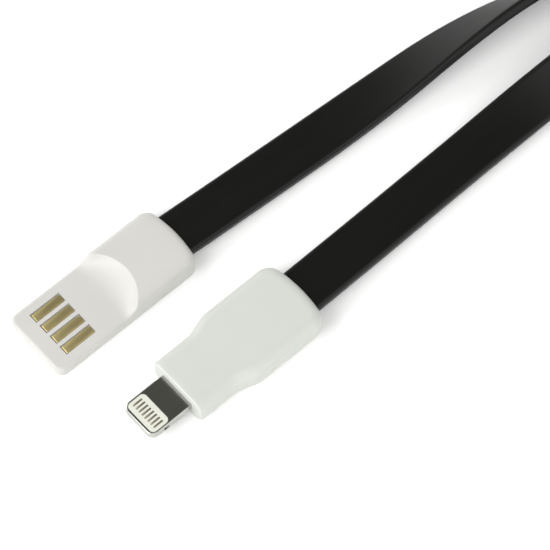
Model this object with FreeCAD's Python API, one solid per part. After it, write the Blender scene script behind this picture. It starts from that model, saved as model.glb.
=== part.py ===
import FreeCAD, Part

import math
import os

# A flat charging cable, nominally one metre from tip to tip, with a slim half-height four-contact
# charger plug on one end and an eight-contact reversible phone plug on the other. Both plugs lie on a
# table, side by side, with their tips towards -X. X runs from the tips towards the cable, Z is up, the
# table is z = 0, and the origin is under the middle of the two plugs. Millimetres.

V = FreeCAD.Vector

# ---- charger plug: places are measured from its tip ----
CHARGER_TIP_X, CHARGER_Y = -17.8, 10.2
CHARGER_LENGTH, CHARGER_WIDTH = 28.0, 12.0
TONGUE_THICK, GRIP_THICK = 2.3, 4.1
CHARGER_FRONT_CORNER, CHARGER_REAR_CORNER = 1.3, 1.6
CHARGER_REAR_BOW = 0.8  # how far the middle of the rear end stands out past its corners
RAMP_FOOT_X, CREST_END_X, CREST_APEX_X = 14.3, 16.3, 18.3  # the finger ramp up to the grip
GRIP_EDGE, UNDER_EDGE = 1.25, 0.5
CHARGER_CONTACTS, CHARGER_PITCH = 4, 7.0 / 3
PAD_START_X, PAD_LENGTH, PAD_WIDTH, PAD_THICK = 2.95, 5.4, 1.4, 0.25
PAD_DEPTH, POCKET_MARGIN = 0.15, 0.15  # each pad lies this deep in a pocket that is this much larger

# ---- phone plug: places are measured from the tip of its metal tab ----
PHONE_TIP_X, PHONE_Y = -14.6, -9.7
TAB_LENGTH, TAB_WIDTH, TAB_THICK, TAB_CORNER, TAB_EDGE = 7.8, 6.7, 1.5, 1.25, 0.3
BODY_LENGTH, NECK_WIDTH, BODY_WIDTH, BODY_THICK = 24.6, 10.7, 13.0, 4.8
SHOULDER_START, SHOULDER_END = 6.6, 10.8  # from the body's front face
BODY_REAR_CORNER, BODY_REAR_BOW, BODY_TOP_EDGE, BODY_UNDER_EDGE = 1.9, 0.9, 1.65, 1.2
WINDOW_START, WINDOW_LENGTH, WINDOW_WIDTH, WINDOW_CORNER = 0.45, 3.4, 6.05, 0.5
PHONE_CONTACTS, PHONE_PITCH, STRIP_WIDTH, STRIP_LENGTH = 8, 0.66, 0.36, 1.8
LATCH_X, LATCH_RADIUS, LATCH_DEPTH = 2.9, 0.5, 0.25
ROOT_LENGTH, ROOT_STEP = 1.4, 0.15  # the tab is a little narrower where it leaves the body

# ---- flat cable ----
CABLE_WIDTH, CABLE_THICK = 8.0, 1.8
JACKET_INSIDE = 5.0  # how far the jacket runs into each plug
WIRE_RADIUS, CORE_RADIUS, WIRE_PITCH = 0.5, 0.25, 1.7

# ---- put-away hank: the cable stands on edge, wound in pairs about two centres ----
LANE_PITCH, HANK_LIFT = 3.0, 0.6  # the tie under the hank holds it this far off the table
HANK_LEFT_X, HANK_RIGHT_X, HANK_Y = 114.0, 158.0, 23.5
OUTER_LANE, INNER_LANE = 33.0, 24.0  # from the hank's middle line to the first and the last lane
TIE_X, TIE_WIDTH, TIE_THICK = 136.0, 9.0, 0.6

# ---- the cable's route from each plug to the hank, at the middle of its section ----
EDGE_HEIGHT = HANK_LIFT + CABLE_WIDTH / 2
CHARGER_ROUTE = [
    (CHARGER_TIP_X + CHARGER_LENGTH, CHARGER_Y, GRIP_THICK / 2),
    (24.0, 9.5, 1.5),
    (46.0, 8.2, 1.3),
    (68.0, 6.9, 3.5),
    (84.0, 3.6, 4.2),
    (98.0, -3.4, 4.5),
    (114.0, -6.5, EDGE_HEIGHT),
]
PHONE_ROUTE = [
    (PHONE_TIP_X + TAB_LENGTH + BODY_LENGTH, PHONE_Y, BODY_THICK / 2),
    (30.0, -9.3, 1.6),
    (50.0, -8.8, 1.1),
    (70.0, -9.1, 2.7),
    (86.0, -9.6, 4.1),
    (99.0, -9.7, 4.4),
    (114.0, -9.5, EDGE_HEIGHT),
]
# between these places the cable turns from its wide face onto its edge
CHARGER_TWIST_X, PHONE_TWIST_X, TWIST_END_X = 34.0, 50.0, 112.0


def save(name, *solids):
    """Write one node, a solid or a group of separate solids."""
    shape = solids[0] if len(solids) == 1 else Part.makeCompound(list(solids))
    shape.exportStep("parts/%s.step" % name)
    facts = (name, len(shape.Solids), shape.Volume, shape.BoundBox.ZMin, shape.isValid())
    print("%-24s %2d solid(s) %10.3f mm3 lowest %.3f valid %s" % facts)


def box(x, y, z):
    """A block from three (low, high) ranges."""
    return Part.makeBox(x[1] - x[0], y[1] - y[0], z[1] - z[0], V(x[0], y[0], z[0]))


def rod(start, end, radius):
    """A round bar between two points."""
    along = end - start
    return Part.makeCylinder(radius, along.Length, start, along)


def line(a, b):
    return Part.LineSegment(a, b).toShape()


def arc(a, middle, b):
    return Part.Arc(a, middle, b).toShape()


def prism(edges, z, height):
    """A closed outline at the height z, drawn upwards."""
    wire = Part.Wire(Part.__sortEdges__(edges))
    return Part.Face(wire).extrude(V(0, 0, height)).translate(V(0, 0, z))


def upright_edges(solid, x_low, x_high):
    """The solid's straight edges along Z between two values of x."""
    found = []
    for edge in solid.Edges:
        low, high = edge.BoundBox.XMin, edge.BoundBox.XMax
        if high - low < 1e-3 and edge.BoundBox.YLength < 1e-3 and x_low < low < x_high:
            found.append(edge)
    return found


def level_edges(solid, z, x_low):
    """The edges that lie flat at the height z, behind x_low."""
    return [
        e
        for e in solid.Edges
        if e.BoundBox.ZLength < 1e-3 and abs(e.BoundBox.ZMin - z) < 1e-3 and e.BoundBox.XMax > x_low
    ]


def bowed(solid, rear_x, half_width, bow, thick):
    """Round the rear end of a body to one arc across its width."""
    radius = (half_width**2 + bow**2) / (2 * bow)
    disc = Part.makeCylinder(radius, thick, V(rear_x - radius, 0, 0))
    return solid.common(disc)


def placed(solids, x, y):
    """Copies of the solids, moved from their plug's own frame to its place on the table."""
    moved = [s.copy() for s in solids]
    for s in moved:
        s.translate(V(x, y, 0))
    return moved


def without(solid, *others):
    """The solid with room cut out of it for its neighbours."""
    for other in others:
        solid = solid.cut(other)
    return solid


# ---- charger plug ----
def ramp_cutter():
    """What is taken off above the tongue, with a ramp from a straight foot to a curved crest."""
    half, rise = CHARGER_WIDTH / 2 + 2, GRIP_THICK - TONGUE_THICK
    far = -5.0

    def outline(foot, end, apex, z):
        corners = [V(end, -half, z), V(far, -half, z), V(far, half, z), V(end, half, z)]
        sides = [line(a, b) for a, b in zip(corners, corners[1:])]
        return Part.Wire(sides + [arc(corners[3], V(apex, 0, z), corners[0])])

    foot_x = RAMP_FOOT_X
    low = outline(foot_x, foot_x, foot_x + 0.02, TONGUE_THICK)
    slope_end, slope_apex = CREST_END_X - foot_x, CREST_APEX_X - foot_x
    widen = 1 + 2 / (CHARGER_WIDTH / 2)
    end_x = foot_x + 2 * (slope_end - (widen - 1) * 1.2)
    high = outline(foot_x, end_x, foot_x + 2 * slope_apex, TONGUE_THICK + 2 * rise)
    return Part.makeLoft([low, high], True, True)


def charger_shape():
    """The outside of the white charger moulding, with nothing cut out of its inside."""
    half = CHARGER_WIDTH / 2
    blank = box((0, CHARGER_LENGTH), (-half, half), (0, GRIP_THICK))
    blank = bowed(blank, CHARGER_LENGTH, half, CHARGER_REAR_BOW, GRIP_THICK)
    blank = blank.makeFillet(CHARGER_FRONT_CORNER, upright_edges(blank, -1, 1))
    blank = blank.makeFillet(CHARGER_REAR_CORNER, upright_edges(blank, CHARGER_LENGTH - 2, CHARGER_LENGTH))
    blank = blank.makeFillet(GRIP_EDGE, level_edges(blank, GRIP_THICK, -1))
    blank = blank.makeFillet(UNDER_EDGE, level_edges(blank, 0, -1))
    return blank.cut(ramp_cutter())


def charger_contact(y):
    """One stamped contact: the pad, its folded nose and the tail that runs back to the board."""
    top = TONGUE_THICK - PAD_DEPTH
    half = PAD_WIDTH / 2
    end_x = PAD_START_X + PAD_LENGTH
    pad = box((PAD_START_X, end_x), (y - half, y + half), (top - PAD_THICK, top))
    nose = box((PAD_START_X, PAD_START_X + PAD_THICK), (y - half, y + half), (top - 1.1, top))
    drop = box((end_x - PAD_THICK, end_x), (y - half, y + half), (BOARD_TOP, top))
    tail_x = (end_x - PAD_THICK, CHARGER_BOARD_X[0] + 1.6)
    tail = box(tail_x, (y - 0.4, y + 0.4), (BOARD_TOP, BOARD_TOP + PAD_THICK))
    contact = pad.fuse([nose, drop, tail]).removeSplitter()
    front = [
        e for e in contact.Edges
        if abs(e.BoundBox.XMax - PAD_START_X) < 1e-3 and abs(e.BoundBox.ZMin - top) < 1e-3
    ]
    return contact.makeFillet(PAD_THICK * 0.8, front)


BOARD_TOP = 1.35  # the top of the charger plug's board
CHARGER_BOARD_X, CHARGER_BOARD_HALF, BOARD_THICK = (11.5, 19.5), 4.4, 0.6


def wire_rows(x_range, z, radius):
    """Four straight wires side by side along x."""
    rows = [(i - 1.5) * WIRE_PITCH for i in range(4)]
    return [rod(V(x_range[0], y, z), V(x_range[1], y, z), radius) for y in rows]


def solder_dots(x, ys, z, radius=0.45, height=0.35):
    """Low round joints on a board."""
    return [Part.makeCone(radius, radius * 0.5, height, V(x, y, z)) for y in ys]


def jacket_end(rear_x, z):
    """The space that the cable's jacket takes inside a plug."""
    half, thick = CABLE_WIDTH / 2, CABLE_THICK / 2
    shape = box((rear_x - JACKET_INSIDE, rear_x + 3), (-half, half), (z - thick, z + thick))
    along = [e for e in shape.Edges if e.BoundBox.XLength > 1]
    return shape.makeFillet(CABLE_THICK * 0.38, along)


def clamp(x, z, room):
    """A crimped metal band round the jacket inside a plug."""
    half, thick = CABLE_WIDTH / 2 + 0.25, CABLE_THICK / 2 + 0.25
    band = box((x, x + 2.2), (-half, half), (z - thick, z + thick))
    return band.cut(room)


def charger_plug():
    """Every piece of the charger plug, by name, in the plug's own frame."""
    outside = charger_shape()
    centre_z = GRIP_THICK / 2
    jacket = jacket_end(CHARGER_LENGTH, centre_z)
    jacket_x = CHARGER_LENGTH - JACKET_INSIDE
    rows = [(1.5 - i) * CHARGER_PITCH for i in range(CHARGER_CONTACTS)]
    contacts = [charger_contact(y) for y in rows]
    board_y = (-CHARGER_BOARD_HALF, CHARGER_BOARD_HALF)
    board = box(CHARGER_BOARD_X, board_y, (BOARD_TOP - BOARD_THICK, BOARD_TOP))
    joints = solder_dots(CHARGER_BOARD_X[0] + 2.2, rows, BOARD_TOP)
    wires = wire_rows((20.2, jacket_x), centre_z, WIRE_RADIUS)
    bare = []
    for i in range(4):
        y = (i - 1.5) * WIRE_PITCH
        bare.append(rod(V(18.2, y, BOARD_TOP + CORE_RADIUS), V(20.2, y, centre_z), CORE_RADIUS))
    ends = solder_dots(17.6, [(i - 1.5) * WIRE_PITCH for i in range(4)], BOARD_TOP, 0.5, 0.55)
    bare = [without(b, board, *ends) for b in bare]
    wires = [without(w, *bare) for w in wires]
    band = clamp(jacket_x + 0.6, centre_z, jacket)
    inner = [*contacts, board, *joints, *ends, *bare, *wires, band]
    filler = box((CHARGER_BOARD_X[0] + 0.6, 26.0), (-4.8, 4.8), (0.5, 1.9))
    filler = filler.fuse(box((19.2, 26.0), (-4.8, 4.8), (0.6, 3.4))).removeSplitter()
    filler = without(filler, jacket, *inner)
    pockets = []
    for y in rows:
        x = (PAD_START_X - POCKET_MARGIN, PAD_START_X + PAD_LENGTH + POCKET_MARGIN)
        half = PAD_WIDTH / 2 + POCKET_MARGIN
        pocket = box(x, (y - half, y + half), (TONGUE_THICK - PAD_DEPTH - PAD_THICK, TONGUE_THICK + 1))
        pockets.append(pocket.makeFillet(0.3, upright_edges(pocket, -1, 30)))
    housing = without(outside, jacket, *pockets, *inner, filler)
    return {
        "charger_housing": housing.Solids,
        "charger_contacts": contacts,
        "charger_board": [board],
        "charger_solder_joints": joints + ends,
        "charger_inner_mould": filler.Solids,
        "charger_cable_clamp": band.Solids,
        "charger_wire_cores": bare,
        "charger_wire_red": wires[:1],
        "charger_wire_white": wires[1:2],
        "charger_wire_green": wires[2:3],
        "charger_wire_black": wires[3:],
    }


# ---- phone plug ----
def shoulder(y_sign):
    """The side of the body in plan: straight neck, two tangent arcs and a straight rear part."""
    low, high = NECK_WIDTH / 2, BODY_WIDTH / 2
    x0, x1, x2, x3 = (TAB_LENGTH + x for x in (0, SHOULDER_START, SHOULDER_END, BODY_LENGTH + 1))
    length, rise = x2 - x1, high - low
    radius = (length**2 + rise**2) / (4 * rise)
    half_turn = math.asin(length / 2 / radius) / 2
    step_x, step_y = radius * math.sin(half_turn), radius * (1 - math.cos(half_turn))
    middle = V((x1 + x2) / 2, y_sign * (low + high) / 2, 0)
    start, end = V(x1, y_sign * low, 0), V(x2, y_sign * high, 0)
    return [
        line(V(x0, y_sign * low, 0), start),
        arc(start, V(x1 + step_x, y_sign * (low + step_y), 0), middle),
        arc(middle, V(x2 - step_x, y_sign * (high - step_y), 0), end),
        line(end, V(x3, y_sign * high, 0)),
    ]


def phone_shape():
    """The outside of the white phone moulding, with nothing cut out of its inside."""
    front, rear = TAB_LENGTH, TAB_LENGTH + BODY_LENGTH
    left, right = shoulder(1), shoulder(-1)
    ends = [
        line(V(front, -NECK_WIDTH / 2, 0), V(front, NECK_WIDTH / 2, 0)),
        line(V(rear + 1, -BODY_WIDTH / 2, 0), V(rear + 1, BODY_WIDTH / 2, 0)),
    ]
    blank = prism(left + right + ends, 0, BODY_THICK)
    blank = bowed(blank, rear, BODY_WIDTH / 2, BODY_REAR_BOW, BODY_THICK)
    blank = blank.makeFillet(BODY_REAR_CORNER, upright_edges(blank, rear - 2, rear))
    blank = blank.makeFillet(BODY_TOP_EDGE, level_edges(blank, BODY_THICK, front + 0.5))
    return blank.makeFillet(BODY_UNDER_EDGE, level_edges(blank, 0, front + 0.5))


def tab_blank():
    """The outside of the metal tab, with its latch notches and the narrower root."""
    half, mid = TAB_WIDTH / 2, BODY_THICK / 2
    z = (mid - TAB_THICK / 2, mid + TAB_THICK / 2)
    tab = box((0, TAB_LENGTH), (-half, half), z)
    tab = tab.makeFillet(TAB_CORNER, upright_edges(tab, -1, 1))
    tab = tab.makeFillet(TAB_EDGE, level_edges(tab, z[0], -1) + level_edges(tab, z[1], -1))
    root_x = (TAB_LENGTH - ROOT_LENGTH, TAB_LENGTH + 0.1)
    for side in (-1, 1):
        notch_y = side * (half + LATCH_RADIUS - LATCH_DEPTH)
        notch = Part.makeCylinder(LATCH_RADIUS, TAB_THICK, V(LATCH_X, notch_y, z[0]))
        strip = sorted((side * (half - ROOT_STEP), side * (half + 1)))
        tab = without(tab, notch, box(root_x, strip, z))
    return tab


def phone_contact(y, side):
    """One contact: the strip that shows and its tail inside the tab; side is 1 on top, -1 below."""
    mid = BODY_THICK / 2
    strip_x = (WINDOW_START + 0.75, WINDOW_START + 0.75 + STRIP_LENGTH)
    half = STRIP_WIDTH / 2

    def level(low, high):
        return sorted((mid + side * low, mid + side * high))

    surface = TAB_THICK / 2
    strip = box(strip_x, (y - half, y + half), level(surface - 0.15, surface))
    drop = box((strip_x[1] - 0.2, strip_x[1]), (y - half, y + half), level(0.3, surface - 0.1))
    tail = box((strip_x[1] - 0.2, PHONE_BOARD_X[0] + 1.2), (y - half, y + half), level(0.3, 0.4))
    return strip.fuse([drop, tail]).removeSplitter()


PHONE_BOARD_X, PHONE_BOARD_HALF = (11.0, 22.0), 3.9


def phone_tab():
    """The metal tab with its rear block, the white insulator and the sixteen contacts."""
    mid = BODY_THICK / 2
    rows = [(i - (PHONE_CONTACTS - 1) / 2) * PHONE_PITCH for i in range(PHONE_CONTACTS)]
    top = [phone_contact(y, 1) for y in rows]
    bottom = [phone_contact(y, -1) for y in rows]
    half = WINDOW_WIDTH / 2
    window_x = (WINDOW_START, WINDOW_START + WINDOW_LENGTH)
    window = box(window_x, (-half, half), (mid - TAB_THICK / 2, mid + TAB_THICK / 2))
    window = window.makeFillet(WINDOW_CORNER, upright_edges(window, -1, 6))
    core = box((window_x[1] - 1, PHONE_BOARD_X[0]), (-2.75, 2.75), (mid - 0.5, mid + 0.5))
    insulator = window.fuse(core).removeSplitter()
    block = box((TAB_LENGTH, 10.4), (-3.9, 3.9), (mid - 1.2, mid + 1.2))
    frame = without(tab_blank().fuse(block).removeSplitter(), insulator)
    return frame, without(insulator, *top, *bottom), top, bottom


def phone_plug():
    """Every piece of the phone plug, by name, in the plug's own frame."""
    outside, mid = phone_shape(), BODY_THICK / 2
    rear = TAB_LENGTH + BODY_LENGTH
    jacket, jacket_x = jacket_end(rear, mid), rear - JACKET_INSIDE
    frame, insulator, top, bottom = phone_tab()
    board = box(PHONE_BOARD_X, (-PHONE_BOARD_HALF, PHONE_BOARD_HALF), (mid - 0.3, mid + 0.3))
    rows = [(i - (PHONE_CONTACTS - 1) / 2) * PHONE_PITCH for i in range(PHONE_CONTACTS)]
    joints = solder_dots(PHONE_BOARD_X[0] + 1.6, rows, mid + 0.3, 0.28, 0.3)
    wire_ys = [(i - 1.5) * WIRE_PITCH for i in range(4)]
    ends = solder_dots(20.4, wire_ys, mid + 0.3, 0.5, 0.55)
    chip = box((14.4, 17.2), (-2.6, 0.2), (mid + 0.3, mid + 1.1))
    capacitors = [box((x, x + 1.0), (1.4, 1.9), (mid + 0.3, mid + 0.75)) for x in (14.2, 15.8, 17.4)]
    resistors = [box((x, x + 1.0), (-2.2, -1.7), (mid - 0.6, mid - 0.3)) for x in (14.5, 16.5)]
    bare = [rod(V(20.9, y, mid + 0.3 + CORE_RADIUS), V(23.0, y, mid), CORE_RADIUS) for y in wire_ys]
    bare = [without(b, board, *ends) for b in bare]
    wires = [without(w, *bare) for w in wire_rows((22.8, jacket_x), mid, WIRE_RADIUS)]
    band = clamp(jacket_x + 0.6, mid, jacket)
    shell = box((10.5, 24.0), (-4.6, 4.6), (mid - 1.7, mid + 1.7))
    hollow = box((10.4, 24.1), (-4.4, 4.4), (mid - 1.5, mid + 1.5))
    shell = shell.cut(hollow)
    upper = shell.common(box((10, 25), (-5, 5), (mid, 5)))
    lower = shell.common(box((10, 25), (-5, 5), (0, mid)))
    inner = [frame, insulator, *top, *bottom, board, *joints, *ends, chip, *capacitors, *resistors]
    inner += [*bare, *wires, band, upper, lower]
    filler = box((10.5, 24.0), (-4.4, 4.4), (mid - 1.5, mid + 1.5))
    filler = filler.fuse(box((24.0, 30.4), (-4.8, 4.8), (mid - 1.5, mid + 1.5))).removeSplitter()
    filler = without(filler, jacket, *inner)
    housing = without(outside, jacket, *inner, filler)
    return {
        "phone_housing": housing.Solids,
        "tab_frame": frame.Solids,
        "tab_insulator": insulator.Solids,
        "tab_contacts_top": top,
        "tab_contacts_bottom": bottom,
        "phone_board": [board],
        "charge_chip": [chip],
        "board_capacitors": capacitors,
        "board_resistors": resistors,
        "phone_solder_joints": joints + ends,
        "phone_shield_upper": upper.Solids,
        "phone_shield_lower": lower.Solids,
        "phone_inner_mould": filler.Solids,
        "phone_cable_clamp": band.Solids,
        "phone_wire_cores": bare,
        "phone_wire_red": wires[:1],
        "phone_wire_white": wires[1:2],
        "phone_wire_green": wires[2:3],
        "phone_wire_black": wires[3:],
    }


# ---- flat cable ----
def rounded_route(points):
    """Straight runs joined by tangent arcs: the edges, and the radius of each arc."""
    corners = [V(*p) for p in points]
    edges, radii, at = [], [], corners[0]
    for before, corner, after in zip(corners, corners[1:], corners[2:]):
        back, ahead = before - corner, after - corner
        shorter = min(back.Length, ahead.Length)
        back.normalize()
        ahead.normalize()
        half_turn = (math.pi - back.getAngle(ahead)) / 2
        cut = 0.45 * shorter
        radius = cut / math.tan(half_turn)
        inward = back + ahead
        inward.normalize()
        middle = corner + inward * (radius / math.cos(half_turn) - radius)
        start, end = corner + back * cut, corner + ahead * cut
        edges += [line(at, start), arc(start, middle, end)]
        radii.append(radius)
        at = end
    return edges + [line(at, corners[-1])], radii


def section(at, along, turn):
    """The cable's section at a point of its route, turned about the route from flat."""
    side = V(-along.y, along.x, 0)
    side.normalize()
    up = along.cross(side)
    wide = side * math.cos(turn) + up * math.sin(turn)
    thin = up * math.cos(turn) - side * math.sin(turn)
    half_w, half_t = CABLE_WIDTH / 2, CABLE_THICK / 2
    corners = [(-half_w, -half_t), (half_w, -half_t), (half_w, half_t), (-half_w, half_t)]
    points = [at + wide * w + thin * t for w, t in corners]
    return Part.makePolygon(points + points[:1])


def lead(points, twist_x, sign):
    """A lead from its plug to the hank, flat on the table at first and then turned onto its edge."""
    edges, radii = rounded_route(points)
    path = Part.Wire(edges)
    length = path.Length
    stations = path.discretize(Number=29)
    wires = []
    for i, at in enumerate(stations):
        before, after = stations[max(i - 1, 0)], stations[min(i + 1, len(stations) - 1)]
        along = V(1, 0, 0) if i in (0, len(stations) - 1) else after - before
        along.normalize()
        share = min(1, max(0, (at.x - twist_x) / (TWIST_END_X - twist_x)))
        eased = share * share * (3 - 2 * share)
        wires.append(section(at, along, sign * eased * math.pi / 2))
    solid = Part.makeLoft(wires, True, True)
    return solid, length, radii


def hank():
    """The wound cable's outer shape: its lanes side by side and the bend that crosses between them."""
    half, y = CABLE_THICK / 2, HANK_Y
    left, right = HANK_LEFT_X, HANK_RIGHT_X
    shift = LANE_PITCH / 2
    out_low, out_high = OUTER_LANE + half, OUTER_LANE - LANE_PITCH + half
    out_end = OUTER_LANE - 2 * LANE_PITCH + half
    in_low, in_high = OUTER_LANE - 2 * LANE_PITCH - half, INNER_LANE - half

    def bend(x, reach, middle, start, end):
        """An arc round one end of the hank, from the lane at start to the lane at end."""
        return arc(V(x, start, 0), V(x + reach, middle, 0), V(x, end, 0))

    outer = [
        line(V(left, y - out_low, 0), V(right, y - out_low, 0)),
        bend(right, (out_low + out_high) / 2, y - shift, y - out_low, y + out_high),
        line(V(right, y + out_high, 0), V(left, y + out_high, 0)),
        bend(left, -(out_high + out_end) / 2, y + shift, y + out_high, y - out_end),
        line(V(left, y - out_end, 0), V(left, y - out_low, 0)),
    ]
    inner = [
        line(V(left, y - in_low, 0), V(right, y - in_low, 0)),
        bend(right, (in_low + in_high) / 2, y - shift, y - in_low, y + in_high),
        line(V(right, y + in_high, 0), V(right, y + in_low, 0)),
        line(V(right, y + in_low, 0), V(left, y + in_low, 0)),
        bend(left, -(in_low + in_high) / 2, y + shift, y + in_low, y - in_high),
        line(V(left, y - in_high, 0), V(left, y - in_low, 0)),
    ]
    ring = prism(outer, HANK_LIFT, CABLE_WIDTH).cut(prism(inner, HANK_LIFT, CABLE_WIDTH))
    return ring.fuse(crossing()).removeSplitter(), crossing_arc()


def crossing_arc():
    """The radius and the turn of the two equal arcs that cross the hank's middle."""
    run, rise = HANK_RIGHT_X - HANK_LEFT_X, 2 * INNER_LANE
    radius = (run**2 + rise**2) / (4 * rise)
    return radius, 2 * math.atan2(rise, run)


def crossing():
    """The stretch of cable that joins the two innermost lanes through the middle of the hank."""
    radius, turn = crossing_arc()
    half = CABLE_THICK / 2
    start = V(HANK_LEFT_X, HANK_Y - INNER_LANE, 0)
    end = V(HANK_RIGHT_X, HANK_Y + INNER_LANE, 0)

    def on_first(distance, angle):
        centre = start + V(0, radius, 0)
        return centre + V(math.sin(angle), -math.cos(angle), 0) * distance

    def on_second(distance, angle):
        centre = end - V(0, radius, 0)
        return centre + V(-math.sin(angle), math.cos(angle), 0) * distance

    near, far = radius - half, radius + half
    edges = [
        arc(on_first(far, 0), on_first(far, turn / 2), on_first(far, turn)),
        arc(on_second(near, turn), on_second(near, turn / 2), on_second(near, 0)),
        line(on_second(near, 0), on_second(far, 0)),
        arc(on_second(far, 0), on_second(far, turn / 2), on_second(far, turn)),
        arc(on_first(near, turn), on_first(near, turn / 2), on_first(near, 0)),
        line(on_first(near, 0), on_first(far, 0)),
    ]
    return prism(edges, HANK_LIFT, CABLE_WIDTH)


def tie():
    """A soft strap that holds the hank's three lanes together."""
    half = CABLE_THICK / 2
    y = (HANK_Y - OUTER_LANE - half, HANK_Y - OUTER_LANE + 2 * LANE_PITCH + half)
    z = (HANK_LIFT, HANK_LIFT + CABLE_WIDTH)
    t = TIE_THICK
    x = (TIE_X - TIE_WIDTH / 2, TIE_X + TIE_WIDTH / 2)
    band = box(x, (y[0] - t, y[1] + t), (z[0] - t, z[1] + t)).cut(box(x, y, z))
    return band


def lane_length():
    """The length of cable in the hank, along the middle of its section."""
    run = HANK_RIGHT_X - HANK_LEFT_X
    lanes = [OUTER_LANE - LANE_PITCH / 2 - LANE_PITCH * k for k in range(3)]
    outer, middle, inner = lanes
    first = 3 * run + math.pi * (outer + middle + inner)
    second = 2 * run + math.pi * (middle + inner)
    radius, turn = crossing_arc()
    return first + second + 2 * radius * turn


os.makedirs("parts", exist_ok=True)
charger, phone = charger_plug(), phone_plug()
for name, solids in charger.items():
    save(name, *placed(solids, CHARGER_TIP_X, CHARGER_Y))
for name, solids in phone.items():
    save(name, *placed(solids, PHONE_TIP_X, PHONE_Y))

charger_inside = placed([jacket_end(CHARGER_LENGTH, GRIP_THICK / 2)], CHARGER_TIP_X, CHARGER_Y)[0]
phone_inside = placed([jacket_end(TAB_LENGTH + BODY_LENGTH, BODY_THICK / 2)], PHONE_TIP_X, PHONE_Y)[0]
wound, (cross_radius, cross_turn) = hank()
total = lane_length()
for name, route, twist_x, sign, inside in (
    ("cable_lead_charger", CHARGER_ROUTE, CHARGER_TWIST_X, -1, charger_inside),
    ("cable_lead_phone", PHONE_ROUTE, PHONE_TWIST_X, 1, phone_inside),
):
    run, length, radii = lead(route, twist_x, sign)
    rear_x = route[0][0]
    stub = inside.common(box((rear_x - 8, rear_x), (-40, 40), (-1, 9)))
    save(name, run.fuse(stub))
    area = CABLE_WIDTH * CABLE_THICK
    print("  arc radii %s, volume over section times length %.3f" % (
        ", ".join("%.0f" % r for r in radii), run.Volume / area / length))
    total += length
save("cable_hank", wound)
save("cable_tie", tie())
print("crossing radius %.1f over %.0f degrees" % (cross_radius, math.degrees(cross_turn)))
print("cable from plug to plug %.1f mm, tip to tip %.1f mm" % (
    total, total + CHARGER_LENGTH + TAB_LENGTH + BODY_LENGTH))
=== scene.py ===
"""A flat charging cable on a pale table: a slim charger plug, a phone plug and the wound flat cable.

Lengths are millimetres in the dataclasses and are turned into metres where a mesh is made. Each plug is
modelled in its own frame, with x running from its tip towards the cable, y across it and z up from the
table, and is then placed by the box of its CAD housing.
"""
import logging
import math
from collections.abc import Callable, Iterable
from dataclasses import dataclass, field
from enum import Enum

import bmesh
import bpy
from mathutils import Matrix, Vector


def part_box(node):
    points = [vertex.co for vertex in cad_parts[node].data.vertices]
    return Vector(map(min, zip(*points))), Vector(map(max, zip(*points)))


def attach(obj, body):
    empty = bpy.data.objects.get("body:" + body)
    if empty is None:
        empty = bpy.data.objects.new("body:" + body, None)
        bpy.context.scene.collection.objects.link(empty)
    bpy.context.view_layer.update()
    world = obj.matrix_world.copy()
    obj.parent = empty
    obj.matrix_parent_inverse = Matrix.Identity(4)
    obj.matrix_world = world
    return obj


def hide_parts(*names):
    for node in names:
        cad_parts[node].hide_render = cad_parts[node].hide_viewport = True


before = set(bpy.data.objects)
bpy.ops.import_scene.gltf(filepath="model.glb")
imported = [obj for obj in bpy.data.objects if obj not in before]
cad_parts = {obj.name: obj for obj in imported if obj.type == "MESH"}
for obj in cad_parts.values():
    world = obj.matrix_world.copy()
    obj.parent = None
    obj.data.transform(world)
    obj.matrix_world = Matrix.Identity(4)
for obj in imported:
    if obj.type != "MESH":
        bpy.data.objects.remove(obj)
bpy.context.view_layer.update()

MM = 0.001
NEAR = 1e-6  # a cut leaves points alone that lie this close to its plane, in millimetres
TOUCH = 0.01  # places that differ by less than this count as the same, in millimetres
STEP = 0.1  # an edge's ends differ in height when they are further apart than this, in millimetres
CRISP, MOULDED, PLIANT = 35, 40, 50  # edges that turn by more than this many degrees stay sharp
FLAT_FACE_WEIGHT = 80
Span = tuple[float, float]
log = logging.getLogger("charging_cable")


# ---------------------------------------------------------------- mesh helpers
def new_block(bm: bmesh.types.BMesh, low: Vector, high: Vector) -> None:
    """Add a box between two corners.

    Args:
        bm: The mesh that takes the box.
        low: The lowest corner, in millimetres.
        high: The highest corner, in millimetres.
    """
    size = (high - low) * MM
    place = Matrix.Translation((low + high) * MM / 2) @ Matrix.Diagonal((*size, 1))
    bmesh.ops.create_cube(bm, size=1, matrix=place)


def edges_where(
    bm: bmesh.types.BMesh, test: Callable[[Vector, Vector], bool],
) -> list[bmesh.types.BMEdge]:
    """Find edges by the places of their two ends.

    Args:
        bm: The mesh to look in.
        test: Takes both ends, in millimetres, and says whether the edge is wanted.

    Returns:
        The edges that pass.
    """
    return [e for e in bm.edges if test(e.verts[0].co / MM, e.verts[1].co / MM)]


def round_edges(
    bm: bmesh.types.BMesh, edges: list[bmesh.types.BMEdge], radius: float, segments: int,
) -> None:
    """Round edges to a radius.

    Args:
        bm: The mesh that holds the edges.
        edges: The edges to round.
        radius: The radius, in millimetres.
        segments: How many faces the rounding has.
    """
    bmesh.ops.bevel(
        bm, geom=edges, offset=radius * MM, offset_type="OFFSET", segments=segments, profile=0.5,
        affect="EDGES", clamp_overlap=False, material=-1,
    )


def cut_across(bm: bmesh.types.BMesh, axis: int, places: Iterable[float]) -> None:
    """Cut every face of a mesh with planes square to one axis.

    Args:
        bm: The mesh to cut.
        axis: 0 for x, 1 for y, 2 for z.
        places: Where the planes cross the axis, in millimetres.
    """
    normal = Vector((0, 0, 0))
    normal[axis] = 1
    for place in places:
        geometry = bm.verts[:] + bm.edges[:] + bm.faces[:]
        bmesh.ops.bisect_plane(
            bm, geom=geometry, dist=NEAR * MM, plane_co=normal * place * MM, plane_no=normal,
        )


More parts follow.
